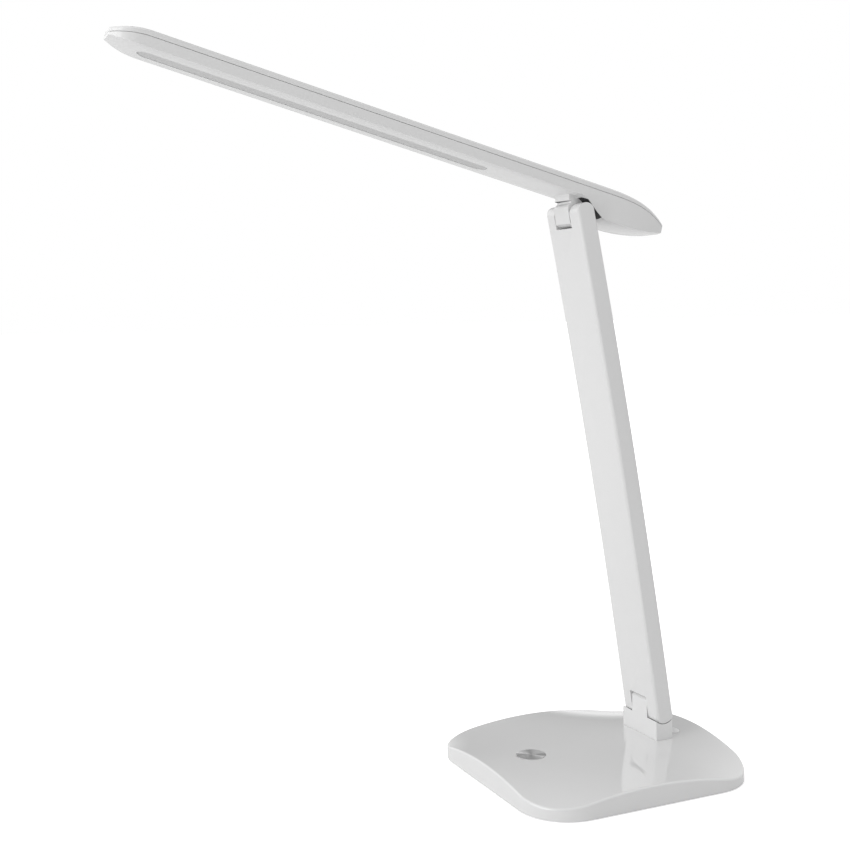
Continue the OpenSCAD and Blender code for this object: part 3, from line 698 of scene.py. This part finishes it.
class LAMP_OT_studio(bpy.types.Operator):
    """Sets the floor, the soft lights, the white surroundings and the camera"""

    bl_idname = "lamp.studio"
    bl_label = "Studio"

    def execute(self, context):
        scene = context.scene
        scene.view_settings.view_transform = "Standard"
        self.floor(scene.lamp_finish.floor)
        self.surroundings(scene)
        self.lights(scene)
        self.camera(scene)
        return {"FINISHED"}

    def seen(self, tree, mirrored):
        """A value that is 1 for camera and transmission rays, and mirrored for glossy rays."""
        path = tree.nodes.new("ShaderNodeLightPath").outputs
        straight = number(tree, "MAXIMUM", path["Is Camera Ray"], path["Is Transmission Ray"])
        gloss = number(tree, "MULTIPLY", path["Is Glossy Ray"], mirrored)
        return number(tree, "MAXIMUM", straight, gloss)

    def low_sky(self, tree):
        """A value that is 1 near the horizon of the room and falls to 0 higher up."""
        low, high = 0.02, 0.2
        parts = tree.nodes.new("ShaderNodeSeparateXYZ")
        feed(tree, parts.inputs[0], place_on(tree, "Generated"))
        return ramp(tree, parts.outputs["Z"], low, high, 1.0, 0.0, smooth=True)

    def side_walls(self, tree):
        """Brightness of the room in reflections: dim in the middle, bright towards two sides."""
        towards = (0.41, 0.91, 0.0)
        narrow, wide = 0.15, 0.6
        dim, bright = 0.3, 1.3
        along = vector(tree, "DOT_PRODUCT", place_on(tree, "Generated"), towards)["Value"]
        return ramp(tree, number(tree, "ABSOLUTE", along), narrow, wide, dim, bright, smooth=True)

    def floor(self, colour):
        """A wide floor that keeps the lamp's shadow and fades to white away from it."""
        near, far = 0.12, 0.9
        dim, mirrored = 0.42, 0.3
        bm = bmesh.new()
        bmesh.ops.create_grid(bm, x_segments=1, y_segments=1, size=40.0)
        obj = new_object("studio_floor", bm)
        made, tree, shader = principled("Studio floor")
        shader.inputs["Base Color"].default_value = colour
        shader.inputs["Roughness"].default_value = 0.9
        shader.inputs["Specular IOR Level"].default_value = 0.0
        bright = tree.nodes.new("ShaderNodeBsdfDiffuse")
        bright.inputs["Color"].default_value = WHITE
        away = vector(tree, "LENGTH", place_on(tree))["Value"]
        glow = tree.nodes.new("ShaderNodeEmission")
        feed(tree, glow.inputs["Strength"], ramp(tree, away, near, far, dim, 1.0, smooth=True))
        both = tree.nodes.new("ShaderNodeAddShader")
        feed(tree, both.inputs[0], bright.outputs[0])
        feed(tree, both.inputs[1], glow.outputs[0])
        mix = mixed(tree, self.seen(tree, mirrored), shader.outputs[0], both.outputs[0])
        feed(tree, tree.nodes["Material Output"].inputs["Surface"], mix)
        obj.data.materials.append(made)

    def surroundings(self, scene):
        """A room that lights evenly, shows brighter sides in reflections and is white to the camera."""
        even = 0.66
        scene.world = bpy.data.worlds.new("Studio surroundings")
        scene.world.use_nodes = True
        tree = scene.world.node_tree
        room = tree.nodes["Background"]
        walls = tree.nodes.new("ShaderNodeBackground")
        white = tree.nodes.new("ShaderNodeBackground")
        for shader, strength in ((room, even), (walls, self.side_walls(tree)), (white, 1.0)):
            shader.inputs["Color"].default_value = WHITE
            feed(tree, shader.inputs["Strength"], strength)
        glossy = tree.nodes.new("ShaderNodeLightPath").outputs["Is Glossy Ray"]
        high = mixed(tree, glossy, room.outputs[0], walls.outputs[0])
        mix = mixed(tree, self.seen(tree, self.low_sky(tree)), high, white.outputs[0])
        feed(tree, tree.nodes["World Output"].inputs["Surface"], mix)

    def lights(self, scene):
        """Two soft boxes that point at the middle of the lamp."""
        middle = Vector((0, -0.05, 0.22))
        side = 1.6
        for name, place, power in (
            ("Front softbox", Vector((0.25, -2.2, 0.8)), 17.0),
            ("Overhead softbox", Vector((-0.3, -0.4, 2.4)), 6.5),
        ):
            data = bpy.data.lights.new(name, "AREA")
            data.size = side
            data.energy = power
            obj = bpy.data.objects.new(name, data)
            obj.location = place
            obj.rotation_euler = (middle - place).to_track_quat("-Z", "Y").to_euler()
            scene.collection.objects.link(obj)

    def camera(self, scene):
        """The photograph's view: place in mm, turn, rise and roll in degrees, focal length in pixels."""
        place = Vector((805.09, -489.25, 339.39)) * MM
        turn, rise, roll = (math.radians(a) for a in (65.978, 4.895, -1.214))
        focal, frame = 1278.55, 850.0
        sensor = 36.0
        back = Vector((math.sin(turn) * math.cos(rise), -math.cos(turn) * math.cos(rise), math.sin(rise)))
        right = (-back).cross(Vector((0, 0, 1))).normalized()
        up = right.cross(-back)
        across = math.cos(roll) * right + math.sin(roll) * up
        above = -math.sin(roll) * right + math.cos(roll) * up
        data = bpy.data.cameras.new("Photograph view")
        data.sensor_width = sensor
        data.lens = focal / frame * sensor
        data.clip_start, data.clip_end = 0.01, 100.0
        obj = bpy.data.objects.new("Photograph view", data)
        turned = Matrix((across, above, back)).transposed().to_4x4()
        obj.matrix_world = Matrix.Translation(place) @ turned
        scene.collection.objects.link(obj)
        scene.camera = obj


class LAMP_PT_panel(bpy.types.Panel):
    """Lists the sizes, the colours and the steps that build the lamp"""

    bl_idname = "LAMP_PT_panel"
    bl_label = "Desk Lamp"
    bl_space_type = "VIEW_3D"
    bl_region_type = "UI"
    bl_category = "Desk Lamp"

    def draw(self, context):
        for owner in (context.scene.lamp_sizes, context.scene.lamp_finish):
            box = self.layout.box()
            for name in owner.__annotations__:
                box.prop(owner, name)
        for step in STEPS:
            self.layout.operator(step.bl_idname)


STEPS = (LAMP_OT_base, LAMP_OT_disc, LAMP_OT_arm, LAMP_OT_head, LAMP_OT_insides, LAMP_OT_studio)
CLASSES = (LampSizes, LampFinish, *STEPS, LAMP_PT_panel)


def register():
    for cls in CLASSES:
        bpy.utils.register_class(cls)
    bpy.types.Scene.lamp_sizes = bpy.props.PointerProperty(type=LampSizes)
    bpy.types.Scene.lamp_finish = bpy.props.PointerProperty(type=LampFinish)


def unregister():
    del bpy.types.Scene.lamp_finish
    del bpy.types.Scene.lamp_sizes
    for cls in reversed(CLASSES):
        bpy.utils.unregister_class(cls)


def main():
    register()
    for step in STEPS:
        family, name = step.bl_idname.split(".")
        getattr(getattr(bpy.ops, family), name)()
    bpy.context.view_layer.update()


if __name__ == "__main__":
    main()
